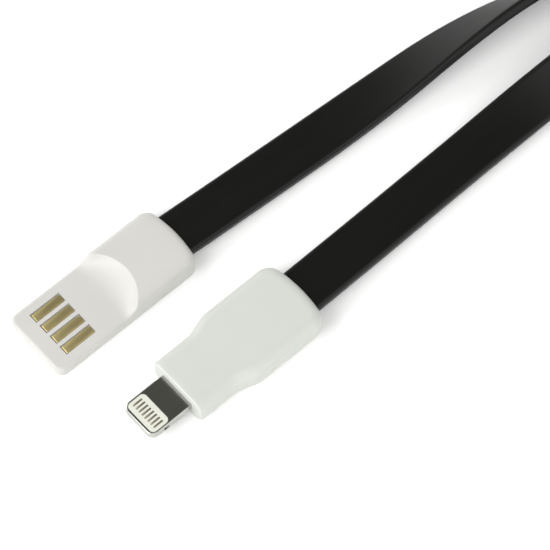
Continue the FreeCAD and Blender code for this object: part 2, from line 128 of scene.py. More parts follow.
def spread(low: float, high: float, count: int) -> list[float]:
    """Evenly spaced values from low to high, both included."""
    return [low + (high - low) * i / (count - 1) for i in range(count)]


def to_object(
    name: str, bm: bmesh.types.BMesh, place: Vector, sharp: float = CRISP,
) -> bpy.types.Object:
    """Turn a finished mesh into a piece that stands at the origin with its place in its mesh.

    Args:
        name: The piece's name.
        bm: The mesh, which is freed.
        place: Where the mesh's own origin goes, in metres.
        sharp: Edges that turn by more than this many degrees stay sharp.

    Returns:
        The new object.
    """
    bmesh.ops.translate(bm, verts=bm.verts, vec=place)
    bmesh.ops.recalc_face_normals(bm, faces=bm.faces)
    mesh = bpy.data.meshes.new(name)
    bm.to_mesh(mesh)
    bm.free()
    piece = bpy.data.objects.new(name, mesh)
    bpy.context.scene.collection.objects.link(piece)
    smooth(piece, sharp)
    return piece


def smooth(piece: bpy.types.Object, sharp: float) -> None:
    """Shade a piece smoothly apart from its sharp edges.

    Args:
        piece: The piece.
        sharp: Edges that turn by more than this many degrees stay sharp.
    """
    piece.data.polygons.foreach_set("use_smooth", [True] * len(piece.data.polygons))
    piece.data.set_sharp_from_angle(angle=math.radians(sharp))


def weigh_normals(piece: bpy.types.Object) -> None:
    """Let a piece's large faces shade flat beside their rounded edges."""
    weigh = piece.modifiers.new("face_weights", "WEIGHTED_NORMAL")
    weigh.keep_sharp = True
    weigh.weight = FLAT_FACE_WEIGHT


def carve(piece: bpy.types.Object, cutters: list[bmesh.types.BMesh], place: Vector) -> None:
    """Cut rooms out of a piece.

    Args:
        piece: The piece to cut.
        cutters: Closed meshes, which are freed.
        place: Where the cutters' own origin goes, in metres.
    """
    tools = [to_object("cutter", cutter, place) for cutter in cutters]
    for tool in tools:
        cut = piece.modifiers.new("cut", "BOOLEAN")
        cut.operation = "DIFFERENCE"
        cut.solver = "EXACT"
        cut.object = tool
    bpy.context.view_layer.update()
    graph = bpy.context.evaluated_depsgraph_get()
    mesh = bpy.data.meshes.new_from_object(piece.evaluated_get(graph))
    piece.modifiers.clear()
    whole, piece.data = piece.data, mesh
    bpy.data.meshes.remove(whole)
    mesh.name = piece.name
    for tool in tools:
        shape = tool.data
        bpy.data.objects.remove(tool)
        bpy.data.meshes.remove(shape)
    smooth(piece, MOULDED)


def block_cutter(x: Span, half_width: float, z: Span) -> bmesh.types.BMesh:
    """A closed box, centred across the plug, that cuts a room.

    Args:
        x: Where it starts and ends along the plug, in millimetres.
        half_width: Half its width, in millimetres.
        z: Its bottom and its top, in millimetres.

    Returns:
        The box's mesh.
    """
    bm = bmesh.new()
    new_block(bm, Vector((x[0], -half_width, z[0])), Vector((x[1], half_width, z[1])))
    return bm


def edge_drop(inward: float, radius: float) -> float:
    """How far a rounded edge lies below its flat, at a distance in from the side."""
    if inward >= radius:
        return 0.0
    return radius - math.sqrt(radius**2 - (radius - inward) ** 2)


def ring_steps(radius: float, count: int) -> list[float]:
    """The distances in from the side at which a rounded edge has its rings."""
    return [radius * (1 - math.cos(math.pi / 2 * (i + 1) / count)) for i in range(count)]


def add_rings(bm: bmesh.types.BMesh, face: bmesh.types.BMFace, steps: list[float]) -> None:
    """Inset a face into rings and note on each point how far in it lies.

    Args:
        bm: The mesh that holds the face.
        face: The face to inset.
        steps: The rings' distances from the side, in millimetres.
    """
    inward = bm.verts.layers.float["inward"]
    before = 0.0
    for step in steps:
        bmesh.ops.inset_region(bm, faces=[face], thickness=(step - before) * MM, use_even_offset=True)
        for v in face.verts:
            v[inward] = step
        before = step


@dataclass(frozen=True)
class Plan:
    """The outline of a flat body seen from above, x running from its front end. Millimetres."""

    length: float
    front_half: float
    rear_half: float
    shoulder: Span = (0.0, 0.0)
    front_corner: float = 0.0
    rear_corner: float = 0.0
    rear_bow: float = 0.0
    corner_faces: int = 8
    shoulder_cuts: int = 17
    rear_cuts: int = 13

    def half_width(self, x: float) -> float:
        """Half the body's width at a distance from its front end."""
        start, end = self.shoulder
        if end <= start:
            return self.rear_half
        share = min(1.0, max(0.0, (x - start) / (end - start)))
        return self.front_half + (self.rear_half - self.front_half) * share * share * (3 - 2 * share)

    def sheet(self, z: float) -> bmesh.types.BMesh:
        """The outline as one flat face.

        Args:
            z: The face's height, in millimetres.

        Returns:
            A mesh that holds the one face.
        """
        bm = bmesh.new()
        corner = Matrix.Translation(Vector((self.length / 2, 0, z)) * MM)
        size = Matrix.Diagonal((self.length * MM, 2 * self.rear_half * MM, 1, 1))
        bmesh.ops.create_grid(bm, x_segments=1, y_segments=1, size=0.5, matrix=corner @ size)
        for x, radius in ((0.0, self.front_corner), (self.length, self.rear_corner)):
            corners = [v for v in bm.verts if abs(v.co.x / MM - x) < TOUCH]
            if radius:
                bmesh.ops.bevel(
                    bm, geom=corners, offset=radius * MM, offset_type="OFFSET", segments=self.corner_faces,
                    profile=0.5, affect="VERTICES", clamp_overlap=False, material=-1,
                )
        if self.shoulder[1] > self.shoulder[0]:
            cut_across(bm, 0, spread(*self.shoulder, self.shoulder_cuts))
            bmesh.ops.dissolve_faces(bm, faces=bm.faces[:])
        rear = edges_where(bm, lambda a, b: min(a.x, b.x) > self.length - TOUCH)
        bmesh.ops.subdivide_edges(bm, edges=rear, cuts=self.rear_cuts)
        for v in bm.verts:
            x = v.co.x / MM
            v.co.y *= self.half_width(x) / self.rear_half
            across = v.co.y / MM / self.rear_half
            if x > self.length - self.rear_corner - TOUCH:
                v.co.x -= self.rear_bow * across**2 * MM
        return bm

    def slab(self, z: Span) -> bmesh.types.BMesh:
        """The outline as a closed slab between two heights, in millimetres."""
        bm = self.sheet(z[0])
        grown = bmesh.ops.extrude_face_region(bm, geom=bm.faces[:])["geom"]
        top = [g for g in grown if isinstance(g, bmesh.types.BMVert)]
        bmesh.ops.translate(bm, verts=top, vec=(0, 0, (z[1] - z[0]) * MM))
        bmesh.ops.recalc_face_normals(bm, faces=bm.faces)
        return bm

    def ringed_slab(
        self, height: float, top: tuple[float, int], bottom: tuple[float, int],
    ) -> bmesh.types.BMesh:
        """A slab on the table, with rings near its top and bottom edges for their rounding.

        Args:
            height: The slab's height, in millimetres.
            top: The radius that its top edge gets, in millimetres, and how many rings it has.
            bottom: The same for its bottom edge.

        Returns:
            The slab, whose points hold how far in from the side they lie.
        """
        bm = self.slab((0, height))
        bm.verts.layers.float.new("inward")
        upper = max(bm.faces, key=lambda f: f.calc_center_median().z)
        lower = min(bm.faces, key=lambda f: f.calc_center_median().z)
        add_rings(bm, upper, ring_steps(*top))
        add_rings(bm, lower, ring_steps(*bottom))
        return bm


# ---------------------------------------------------------------- finishes
class Grain(Enum):
    """How a finish's fine texture runs over its surface."""

    EVEN = "even"
    BRUSHED = "brushed"
    ALONG = "along"


GRAIN_STRETCH = {Grain.EVEN: (1, 1, 1), Grain.BRUSHED: (0.06, 1, 1), Grain.ALONG: (0.04, 1, 1)}
FINE_DETAIL, CLOUD_DETAIL = 3, 2
CLOUD_SPAN = 0.3, 0.7  # the stretch of the cloud pattern over which a finish goes from dark to light
SMOOTHEST = 0.02  # the lowest roughness that a finish's texture may reach


@dataclass(frozen=True)
class Finish:
    """A finish: its shader's constants and its fine texture. Colours are linear."""

    name: str
    colour: tuple[float, float, float]
    roughness: float
    shade: float = 0.04
    metallic: float = 0.0
    specular: float = 0.5
    glow: float = 0.0
    grain: Grain = Grain.EVEN
    grain_per_metre: float = 2500.0
    relief: float = 0.02
    relief_depth: float = 0.00002
    roughness_swing: float = 0.05
    cloud_per_metre: float = 160.0

    def coordinates(self, nodes: bpy.types.Nodes, links: bpy.types.NodeLinks) -> bpy.types.NodeSocket:
        """The scaled coordinates that the grain is drawn in.

        Args:
            nodes: The material's nodes.
            links: The material's links.

        Returns:
            The vector output to draw patterns from.
        """
        source = nodes.new("ShaderNodeTexCoord")
        mapping = nodes.new("ShaderNodeMapping")
        mapping.inputs["Scale"].default_value = GRAIN_STRETCH[self.grain]
        socket = "UV" if self.grain is Grain.ALONG else "Object"
        links.new(source.outputs[socket], mapping.inputs["Vector"])
        return mapping.outputs["Vector"]

    def material(self) -> bpy.types.Material:
        """Make the finish as a procedural material."""
        made = bpy.data.materials.new(self.name)
        made.use_nodes = True
        nodes, links = made.node_tree.nodes, made.node_tree.links
        shader = nodes["Principled BSDF"]
        shader.inputs["Metallic"].default_value = self.metallic
        shader.inputs["Specular IOR Level"].default_value = self.specular
        shader.inputs["Emission Color"].default_value = (1, 1, 1, 1)
        shader.inputs["Emission Strength"].default_value = self.glow
        place = self.coordinates(nodes, links)

        fine = nodes.new("ShaderNodeTexNoise")
        fine.inputs["Scale"].default_value = self.grain_per_metre
        fine.inputs["Detail"].default_value = FINE_DETAIL
        links.new(place, fine.inputs["Vector"])
        cloud = nodes.new("ShaderNodeTexNoise")
        cloud.inputs["Scale"].default_value = self.cloud_per_metre
        cloud.inputs["Detail"].default_value = CLOUD_DETAIL
        links.new(place, cloud.inputs["Vector"])

        tint = nodes.new("ShaderNodeValToRGB")
        low = [c * (1 - self.shade) for c in self.colour]
        high = [min(1.0, c * (1 + self.shade)) for c in self.colour]
        tint.color_ramp.elements[0].position = CLOUD_SPAN[0]
        tint.color_ramp.elements[0].color = (*low, 1)
        tint.color_ramp.elements[1].position = CLOUD_SPAN[1]
        tint.color_ramp.elements[1].color = (*high, 1)
        links.new(cloud.outputs["Fac"], tint.inputs["Fac"])
        links.new(tint.outputs["Color"], shader.inputs["Base Color"])

        gloss = nodes.new("ShaderNodeMapRange")
        gloss.inputs["To Min"].default_value = max(SMOOTHEST, self.roughness - self.roughness_swing)
        gloss.inputs["To Max"].default_value = self.roughness + self.roughness_swing
        links.new(fine.outputs["Fac"], gloss.inputs["Value"])
        links.new(gloss.outputs["Result"], shader.inputs["Roughness"])

        bump = nodes.new("ShaderNodeBump")
        bump.inputs["Strength"].default_value = self.relief
        bump.inputs["Distance"].default_value = self.relief_depth
        links.new(fine.outputs["Fac"], bump.inputs["Height"])
        links.new(bump.outputs["Normal"], shader.inputs["Normal"])
        return made


CHARGER_WHITE = Finish(
    "charger_plug_white", (0.500, 0.494, 0.472), 0.40, shade=0.012, relief=0.25, grain_per_metre=1800,
)
PHONE_WHITE = Finish(
    "phone_plug_white", (0.506, 0.522, 0.486), 0.40, shade=0.012, relief=0.25, grain_per_metre=1800,
)
GOLD = Finish(
    "gold_plating", (0.61, 0.51, 0.245), 0.42, shade=0.10, metallic=1.0, grain=Grain.BRUSHED,
    grain_per_metre=9000, relief=0.35, roughness_swing=0.08,
)
PALE_GOLD = Finish(
    "contact_plating", (0.50, 0.47, 0.36), 0.36, shade=0.08, metallic=1.0, grain=Grain.BRUSHED,
    grain_per_metre=9000, relief=0.3, roughness_swing=0.06,
)
TAB_STEEL = Finish(
    "tab_steel", (0.46, 0.46, 0.43), 0.20, shade=0.05, metallic=1.0, grain_per_metre=7000, relief=0.15,
)
INSERT_WHITE = Finish("insert_white", (0.60, 0.61, 0.54), 0.45, shade=0.02, relief=0.2)
JACKET = Finish(
    "black_jacket", (0.0026, 0.0025, 0.0021), 0.40, shade=0.10, specular=0.28, grain=Grain.ALONG,
    grain_per_metre=2600, relief=0.35, roughness_swing=0.07, cloud_per_metre=300,
)
STRAP = Finish("hank_strap_black", (0.014, 0.014, 0.014), 0.7, shade=0.15, relief=0.8, relief_depth=0.0001)
BOARD = Finish("board_resist", (0.03, 0.16, 0.07), 0.35, shade=0.12, relief=0.2)
SOLDER = Finish("solder", (0.62, 0.62, 0.64), 0.3, metallic=1.0, relief=0.3)
PRESSED_STEEL = Finish(
    "pressed_steel", (0.5, 0.5, 0.51), 0.35, metallic=1.0, grain=Grain.BRUSHED, relief=0.3,
)
COPPER = Finish("copper_strands", (0.70, 0.36, 0.2), 0.3, metallic=1.0, grain=Grain.BRUSHED, relief=0.4)
POTTING = Finish("inner_moulding", (0.55, 0.55, 0.52), 0.5, relief=0.3)
CHIP = Finish("chip_package", (0.02, 0.02, 0.021), 0.55, shade=0.2, relief=0.5)
CAPACITOR = Finish("capacitor_body", (0.36, 0.25, 0.13), 0.4, shade=0.15)
FLOOR_WHITE = Finish("floor_white", (0.94, 0.94, 0.935), 0.7, shade=0.004, specular=0.1, glow=0.05)

WIRE_ROUGHNESS = 0.4
WIRE_COLOURS = {
    "wire_red": (0.5, 0.02, 0.015),
    "wire_white": (0.7, 0.7, 0.68),
    "wire_green": (0.02, 0.25, 0.06),
    "wire_black": (0.015, 0.015, 0.015),
}
# the sealed pieces that both plugs have, by the end of their names
PAIRED_FINISHES = {
    "board": BOARD,
    "solder_joints": SOLDER,
    "inner_mould": POTTING,
    "cable_clamp": PRESSED_STEEL,
    "wire_cores": COPPER,
} | {wire: Finish(wire, colour, WIRE_ROUGHNESS) for wire, colour in WIRE_COLOURS.items()}
PHONE_ONLY_FINISHES = {
    "charge_chip": CHIP,
    "board_capacitors": CAPACITOR,
    "board_resistors": CHIP,
    "phone_shield_upper": PRESSED_STEEL,
    "phone_shield_lower": PRESSED_STEEL,
}


class Finishes:
    """Makes each finish's material once."""

    def __init__(self) -> None:
        """Start with no materials."""
        self.made: dict[str, bpy.types.Material] = {}

    def dress(self, piece: bpy.types.Object, finish: Finish) -> None:
        """Give a piece one finish all over.

        Args:
            piece: The piece to dress.
            finish: The finish it takes.
        """
        if finish.name not in self.made:
            self.made[finish.name] = finish.material()
        piece.data.materials.clear()
        piece.data.materials.append(self.made[finish.name])

    def dress_inner_nodes(self) -> None:
        """Give each sealed CAD piece its finish."""
        inner = dict(PHONE_ONLY_FINISHES)
        for plug in ("charger", "phone"):
            inner |= {f"{plug}_{piece}": finish for piece, finish in PAIRED_FINISHES.items()}
        for node, finish in inner.items():
            self.dress(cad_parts[node], finish)
            log.info("%s dressed in %s", node, finish.name)


def settle(piece: bpy.types.Object, slot: str, *nodes: str) -> None:
    """Fix a finished piece to the cable's one body.

    Args:
        piece: The finished piece.
        slot: The record's material slot that it would take its finish from; not used.
        nodes: The CAD nodes that it stands for.
    """
    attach(piece, "root")
    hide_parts(*nodes)
    log.info("%s: %d faces, stands for %s", piece.name, len(piece.data.polygons), ", ".join(nodes))


# ---------------------------------------------------------------- charger plug
@dataclass
class ChargerPlug:
    """The slim plug with four open pads: a thin tongue, a finger ramp and a thicker grip."""

    finishes: Finishes
    plan: Plan = Plan(28.0, 6.0, 6.0, front_corner=1.3, rear_corner=1.6, rear_bow=0.8)
    tongue_thick: float = 2.3
    grip_thick: float = 4.1
    tongue_edge: float = 0.5
    grip_edge: float = 1.25
    under_edge: float = 0.5
    foot_x: float = 12.8
    crest_x: float = 18.2
    crest_radius: float = 7.4
    crest_fade_x: float = 24.0
    crest_half: float = 0.12  # the crest's curved shading is held within this of its line
    grip_start_x: float = 19.2
    ramp_power: float = 2.1
    grip_rings: int = 8
    under_rings: int = 5
    tongue_cut_x: float = 11.0  # keeps the tongue flat between the pads and the ramp
    ramp_cuts: int = 19
    grip_cuts: int = 5
    cross_half: float = 5.4
    cross_cuts: int = 25
    contacts: int = 4
    pitch: float = 7.0 / 3
    pad_x: Span = (2.95, 8.35)
    pad_width: float = 1.4
    pad_thick: float = 0.25
    pad_depth: float = 0.15
    pad_crown: float = 0.05
    pad_nose: float = 0.225
    pad_rear_corner: float = 0.35
    pad_rim: float = 0.07
    pad_rim_width: float = 0.9  # wider top edges belong to the pad's folded nose
    pad_cut_inset: float = 0.15
    pad_cuts: int = 7
    tail_half: float = 0.4
    tail_z: Span = (1.35, 1.6)
    tail_end_x: float = 13.1
    fold_inset: Span = (0.3, 0.05)  # where the fold down to the tail lies, from the pad's rear end
    pocket_margin: float = 0.15
    # each inner room's range along the plug, half its width and its range of height
    board_room: tuple[Span, float, Span] = ((12.1, 26.0), 4.8, (0.5, 1.9))
    wire_room: tuple[Span, float, Span] = ((19.2, 26.0), 4.79, (0.6, 3.4))
    cable_room: tuple[Span, float, Span] = ((23.0, 29.0), 4.0, (1.15, 2.95))
    place: Vector = field(default_factory=Vector)

    def build(self) -> None:
        """Make the moulding and the pads where the CAD housing is."""
        low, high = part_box("charger_housing")
        self.place = Vector((low.x, (low.y + high.y) / 2, low.z))
        shell = self.moulding()
        self.finishes.dress(shell, CHARGER_WHITE)
        settle(shell, "white_gloss", "charger_housing")
        pads = self.pads()
        self.finishes.dress(pads, GOLD)
        settle(pads, "gold_contact", "charger_contacts")

    def rows(self) -> list[float]:
        """Where the pads lie across the plug."""
        return [(i - (self.contacts - 1) / 2) * self.pitch for i in range(self.contacts)]

    def pocket(self, y: float) -> tuple[Span, Span]:
        """The ranges along and across the plug of the pocket round the pad at y."""
        margin = self.pocket_margin
        half = self.pad_width / 2 + margin
        return (self.pad_x[0] - margin, self.pad_x[1] + margin), (y - half, y + half)

    def crest_setback(self, y: float) -> float:
        """How far the ramp's crest lies in front of its apex at y: one arc across the plug."""
        return self.crest_radius - math.sqrt(self.crest_radius**2 - y * y)

    def moulding(self) -> bpy.types.Object:
        """The white moulding: a rounded slab, shaped by height, with its pockets and its inner rooms."""
        top, bottom = (self.grip_edge, self.grip_rings), (self.under_edge, self.under_rings)
        bm = self.plan.ringed_slab(self.grip_thick, top, bottom)
        pockets = [self.pocket(y) for y in self.rows()]
        cut_across(bm, 0, [*pockets[0][0], self.tongue_cut_x])
        cut_across(bm, 0, spread(self.foot_x, self.crest_x, self.ramp_cuts))
        cut_across(bm, 0, [self.crest_x - self.crest_half, self.crest_x + self.crest_half])
        cut_across(bm, 0, spread(self.grip_start_x, self.crest_fade_x, self.grip_cuts))
        cut_across(bm, 1, sorted({round(y, 4) for _, span in pockets for y in span}))
        cut_across(bm, 1, spread(-self.cross_half, self.cross_half, self.cross_cuts))
        inward = bm.verts.layers.float["inward"]
        for v in bm.verts:
            self.shape_point(v, v[inward])
        for along, across in pockets:
            self.sink(bm, along, across)
        shell = to_object("charger_plug_moulding", bm, self.place, sharp=MOULDED)
        rooms = (self.board_room, self.wire_room, self.cable_room)
        carve(shell, [block_cutter(*room) for room in rooms], self.place)
        return shell

    def shape_point(self, v: bmesh.types.BMVert, inward: float) -> None:
        """Move one point of the slab onto the moulding's surface.

        Args:
            v: The point.
            inward: How far in from the side it lies, in millimetres.
        """
        x, y = v.co.x / MM, v.co.y / MM
        if v.co.z < self.grip_thick * MM / 2:
            v.co.z = edge_drop(inward, self.under_edge) * MM
            return
        up = min(1.0, max(0.0, (x - self.foot_x) / (self.crest_x - self.foot_x)))
        rise = up**self.ramp_power
        height = self.tongue_thick + (self.grip_thick - self.tongue_thick) * rise
        radius = self.tongue_edge + (self.grip_edge - self.tongue_edge) * rise
        v.co.z = (height - edge_drop(inward, radius)) * MM
        fade = min(1.0, max(0.0, (self.crest_fade_x - x) / (self.crest_fade_x - self.crest_x)))
        v.co.x -= self.crest_setback(y) * min(up, fade) * MM

    def sink(self, bm: bmesh.types.BMesh, along: Span, across: Span) -> None:
        """Sink the top faces inside a rectangle to make a pocket.

        Args:
            bm: The moulding's mesh.
            along: The pocket's range along the plug, in millimetres.
            across: Its range across the plug, in millimetres.
        """
        inside = []
        for face in bm.faces:
            middle = face.calc_center_median() / MM
            level = abs(middle.z - self.tongue_thick) < TOUCH
            if level and along[0] < middle.x < along[1] and across[0] < middle.y < across[1]:
                inside.append(face)
        sunk = bmesh.ops.extrude_face_region(bm, geom=inside)["geom"]
        floor = [g for g in sunk if isinstance(g, bmesh.types.BMVert)]
        bmesh.ops.delete(bm, geom=[f for f in inside if f.is_valid], context="FACES")
        depth = self.pad_depth + self.pad_thick
        bmesh.ops.translate(bm, verts=floor, vec=(0, 0, -depth * MM))

    def pads(self) -> bpy.types.Object:
        """The four stamped contacts: a crowned pad, its folded nose and the tail back to the board."""
        bm = bmesh.new()
        top = self.tongue_thick - self.pad_depth
        for y in self.rows():
            self.add_pad(bm, y, top)
        return to_object("charger_plug_pads", bm, self.place)

    def add_pad(self, bm: bmesh.types.BMesh, y: float, top: float) -> None:
        """Add one contact.

        Args:
            bm: The mesh that takes it.
            y: Where it lies across the plug, in millimetres.
            top: The height of its edges, in millimetres.
        """
        one = bmesh.new()
        half, (start, end) = self.pad_width / 2, self.pad_x
        low = top - self.pad_thick
        new_block(one, Vector((start, y - half, low)), Vector((end, y + half, top)))
        front = edges_where(one, lambda a, b: max(a.x, b.x) < start + TOUCH and min(a.z, b.z) > top - TOUCH)
        round_edges(one, front, self.pad_nose, segments=6)
        rear = edges_where(one, lambda a, b: min(a.x, b.x) > end - TOUCH and abs(a.z - b.z) > STEP)
        round_edges(one, rear, self.pad_rear_corner, segments=4)
        rim = edges_where(
            one, lambda a, b: min(a.z, b.z) > top - TOUCH and abs(a.y - b.y) < self.pad_rim_width
        )
        round_edges(one, rim, self.pad_rim, segments=2)
        reach = half - self.pad_cut_inset
        cut_across(one, 1, spread(y - reach, y + reach, self.pad_cuts))
        for v in one.verts:
            if v.co.z > (top - self.pad_thick / 2) * MM:
                share = (v.co.y / MM - y) / half
                v.co.z += self.pad_crown * (1 - share * share) * MM
        (near, far), (floor, rise) = self.fold_inset, self.tail_z
        sides = y - self.tail_half, y + self.tail_half
        new_block(one, Vector((end - near, sides[0], floor)), Vector((self.tail_end_x, sides[1], rise)))
        new_block(one, Vector((end - near, sides[0], rise)), Vector((end - far, sides[1], low)))
        mesh = bpy.data.meshes.new("pad")
        one.to_mesh(mesh)
        one.free()
        bm.from_mesh(mesh)
        bpy.data.meshes.remove(mesh)


# ---------------------------------------------------------------- phone plug
@dataclass
class PhonePlug:
    """The waisted plug with a thin reversible metal tab."""

    finishes: Finishes
    nose_spare: float = 3.0
    body: Plan = Plan(27.6, 5.35, 6.5, shoulder=(9.2, 14.2), rear_corner=1.95, rear_bow=0.9)
    body_thick: float = 4.8
    top_edge: float = 1.65
    under_edge: float = 1.2
    nose_edge: float = 0.25
    top_rings: int = 9
    under_rings: int = 7
    first_cut_x: float = 4.0
    last_cut_inset: float = 2.5
    length_cuts: int = 24
    cross_half: float = 4.4
    cross_cuts: int = 11
    tab: Plan = Plan(9.8, 3.35, 3.35, front_corner=1.25)
    root_x: float = 6.4
    root_step: float = 0.15
    tab_length: float = 7.8
    tab_thick: float = 1.5
    tab_edge: float = 0.26
    window: Plan = Plan(3.4, 3.02, 3.02, front_corner=0.75, rear_corner=0.75)
    window_x: float = 0.45
    overcut: float = 1.0
    insert_gap: float = 0.02
    insert_edge: float = 0.06
    contacts: int = 8
    pitch: float = 0.66
    strip_x: Span = (1.2, 3.0)
    strip_width: float = 0.36
    strip_depth: float = 0.2
    strip_corner_share: float = 0.3
    strip_rim: float = 0.04
    latch_x: float = 2.9
    latch_radius: float = 0.55
    latch_depth: float = 0.28
    latch_height: float = 0.8
    # each room's range behind the nose, half its width and half its height
    tab_room: tuple[Span, float, float] = ((-1.0, 4.0), 3.21, 0.76)
    block_room: tuple[Span, float, float] = ((1.0, 3.0), 3.9, 1.2)
    shield_room: tuple[Span, float, float] = ((2.7, 16.2), 4.6, 1.7)
    wire_room: tuple[Span, float, float] = ((16.0, 22.6), 4.8, 1.5)
    cable_room: tuple[Span, float, float] = ((19.2, 26.0), 4.0, 0.9)
    place: Vector = field(default_factory=Vector)

    @property
    def middle(self) -> float:
        """The height of the plug's middle."""
        return self.body_thick / 2

    def build(self) -> None:
        """Make the moulding, the tab, its insert and its contacts where the CAD pieces are."""
        low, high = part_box("phone_housing")
        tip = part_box("tab_frame")[0]
        self.place = Vector((tip.x, (low.y + high.y) / 2, low.z))
        made = (
            (self.moulding(), PHONE_WHITE, "white_gloss", "phone_housing"),
            (self.tab_shell(), TAB_STEEL, "tab_metal", "tab_frame"),
            (self.insert(), INSERT_WHITE, "white_insert", "tab_insulator"),
            (self.strips(1), PALE_GOLD, "pale_gold_contact", "tab_contacts_top"),
            (self.strips(-1), PALE_GOLD, "pale_gold_contact", "tab_contacts_bottom"),
        )
        for piece, finish, slot, node in made:
            self.finishes.dress(piece, finish)
            settle(piece, slot, node)

    def moulding(self) -> bpy.types.Object:
        """The white moulding with its rounded long edges, its flat nose and its inner rooms."""
        top, bottom = (self.top_edge, self.top_rings), (self.under_edge, self.under_rings)
        bm = self.body.ringed_slab(self.body_thick, top, bottom)
        last_cut_x = self.body.length - self.last_cut_inset
        cut_across(bm, 0, spread(self.first_cut_x, last_cut_x, self.length_cuts))
        cut_across(bm, 1, spread(-self.cross_half, self.cross_half, self.cross_cuts))
        inward = bm.verts.layers.float["inward"]
        for v in bm.verts:
            if v.co.z > self.middle * MM:
                v.co.z -= edge_drop(v[inward], self.top_edge) * MM
            else:
                v.co.z += edge_drop(v[inward], self.under_edge) * MM
        self.cut_nose(bm)
        place = self.place + Vector((self.tab_length * MM, 0, 0))
        shell = to_object("phone_plug_moulding", bm, place, sharp=MOULDED)
        rooms = (self.tab_room, self.block_room, self.shield_room, self.wire_room, self.cable_room)
        mid = self.middle
        carve(shell, [block_cutter(x, wide, (mid - high, mid + high)) for x, wide, high in rooms], place)
        return shell

    def cut_nose(self, bm: bmesh.types.BMesh) -> None:
        """Cut the spare length off the front, close the flat nose and round its rim a little.

        Args:
            bm: The moulding's mesh, which ends with its nose at x = 0.
        """
        bmesh.ops.bisect_plane(
            bm, geom=bm.verts[:] + bm.edges[:] + bm.faces[:], dist=NEAR * MM, clear_inner=True,
            plane_co=Vector((self.nose_spare * MM, 0, 0)), plane_no=Vector((1, 0, 0)),
        )
        bmesh.ops.translate(bm, verts=bm.verts, vec=(-self.nose_spare * MM, 0, 0))
        rim = [e for e in bm.edges if e.is_boundary]
        bmesh.ops.contextual_create(bm, geom=rim)
        round_edges(bm, rim, self.nose_edge, segments=4)

    def tab_shell(self) -> bpy.types.Object:
        """The metal tab with its window, its latch hollows and its narrower root."""
        half = self.tab_thick / 2
        levels = (self.middle - half, self.middle + half)
        bm = self.tab.slab(levels)

        def rim(a: Vector, b: Vector) -> bool:
            """Whether an edge is one of the outline's, apart from the end inside the plug."""
            level = any(abs(a.z - z) < TOUCH and abs(b.z - z) < TOUCH for z in levels)
            return level and min(a.x, b.x) < self.tab.length - TOUCH

        round_edges(bm, edges_where(bm, rim), self.tab_edge, segments=5)
        shell = to_object("phone_plug_tab", bm, self.place, sharp=MOULDED)
        window = self.window.slab((levels[0] - self.overcut, levels[1] + self.overcut))
        bmesh.ops.translate(window, verts=window.verts, vec=(self.window_x * MM, 0, 0))
        cutters = [window]
        for side in (-1, 1):
            cutters += [self.latch(side), self.root(side)]
        carve(shell, cutters, self.place)
        weigh_normals(shell)
        return shell

    def root(self, side: int) -> bmesh.types.BMesh:
        """The cutter that makes the tab a little narrower where it leaves the plug.

        Args:
            side: 1 or -1, the side of the tab.

        Returns:
            A closed box.
        """
        bm = bmesh.new()
        inner, outer = self.tab.front_half - self.root_step, self.tab.front_half + self.overcut
        near, far = sorted((side * inner, side * outer))
        end = self.tab.length + self.overcut
        new_block(bm, Vector((self.root_x, near, 0)), Vector((end, far, self.body_thick)))
        return bm

    def latch(self, side: int) -> bmesh.types.BMesh:
        """The cutter of one hollow in the tab's side, which a socket's spring grips.

        Args:
            side: 1 or -1, the side of the tab.

        Returns:
            A short upright cylinder.
        """
        bm = bmesh.new()
        y = side * (self.tab.front_half + self.latch_radius - self.latch_depth)
        centre = Vector((self.latch_x, y, self.middle)) * MM
        bmesh.ops.create_cone(
            bm, cap_ends=True, segments=32, radius1=self.latch_radius * MM, radius2=self.latch_radius * MM,
            depth=self.latch_height * MM, matrix=Matrix.Translation(centre),
        )
        return bm

    def insert(self) -> bpy.types.Object:
        """The white insert that fills the tab's window on both faces."""
        half = self.tab_thick / 2 - self.insert_gap
        bm = self.window.slab((self.middle - half, self.middle + half))
        level = edges_where(bm, lambda a, b: abs(a.z - b.z) < TOUCH)
        round_edges(bm, level, self.insert_edge, segments=2)
        place = self.place + Vector((self.window_x * MM, 0, 0))
        piece = to_object("phone_plug_insert", bm, place, sharp=PLIANT)
        weigh_normals(piece)
        return piece

    def strips(self, side: int) -> bpy.types.Object:
        """Eight contact strips on one face of the insert.

        Args:
            side: 1 for the upper face, -1 for the lower.

        Returns:
            The strips as one piece.
        """
        bm = bmesh.new()
        face = self.middle + side * self.tab_thick / 2
        low, high = sorted((face - side * self.strip_depth, face))
        half, (start, end) = self.strip_width / 2, self.strip_x
        for i in range(self.contacts):
            y = (i - (self.contacts - 1) / 2) * self.pitch
            new_block(bm, Vector((start, y - half, low)), Vector((end, y + half, high)))
        upright = edges_where(bm, lambda a, b: abs(a.z - b.z) > STEP)
        round_edges(bm, upright, self.strip_width * self.strip_corner_share, segments=4)
        rim = edges_where(bm, lambda a, b: abs(a.z - face) < TOUCH and abs(b.z - face) < TOUCH)
        round_edges(bm, rim, self.strip_rim, segments=2)
        return to_object(f"phone_plug_strips_{'upper' if side > 0 else 'lower'}", bm, self.place)


